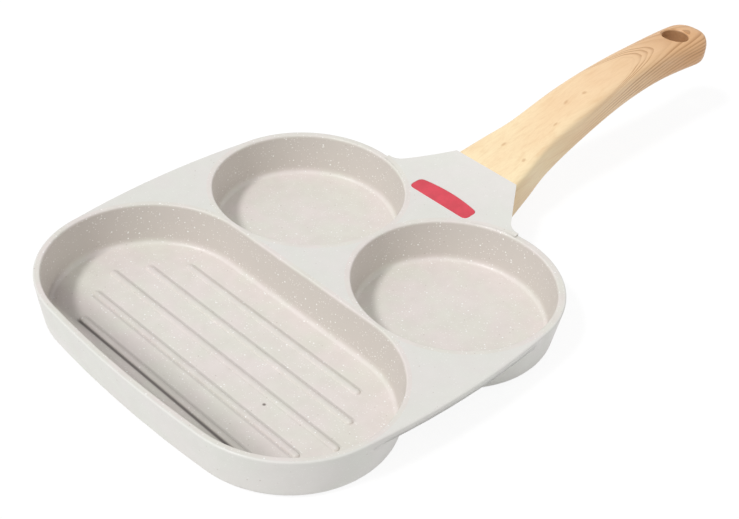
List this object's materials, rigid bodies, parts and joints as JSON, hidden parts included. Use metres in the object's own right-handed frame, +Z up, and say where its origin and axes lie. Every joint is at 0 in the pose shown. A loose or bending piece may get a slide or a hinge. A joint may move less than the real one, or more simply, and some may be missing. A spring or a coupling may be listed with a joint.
{
  "type": "divided frying pan",
  "caption": "Divided frying pan: round egg wells beside a long ribbed grill compartment in a speckled pale coating, with an arched wood-look handle that has a hang hole.",
  "frame": {"origin": "centre of the pan's overall length and width, on the plane its base stands on", "axes": "+X along the handle, away from the compartments; +Y across the pan, to the left of someone who looks along +X from the grill compartment's end; +Z up"},
  "size_m": [0.3876, 0.1956, 0.0529],
  "materials": {
    "stone_coating": "satin speckled non-stick coating on cast aluminium",
    "red_enamel": "smooth, slightly glossy",
    "wood_grain": "satin wood-grain print on moulded phenolic",
    "zinc_steel": "zinc plated"
  },
  "bodies": {
    "root": {"pan": "stone_coating", "red_inlay": "red_enamel", "handle": "wood_grain", "handle_screw": "zinc_steel", "lock_washer": "zinc_steel"}
  },
  "joints": []
}
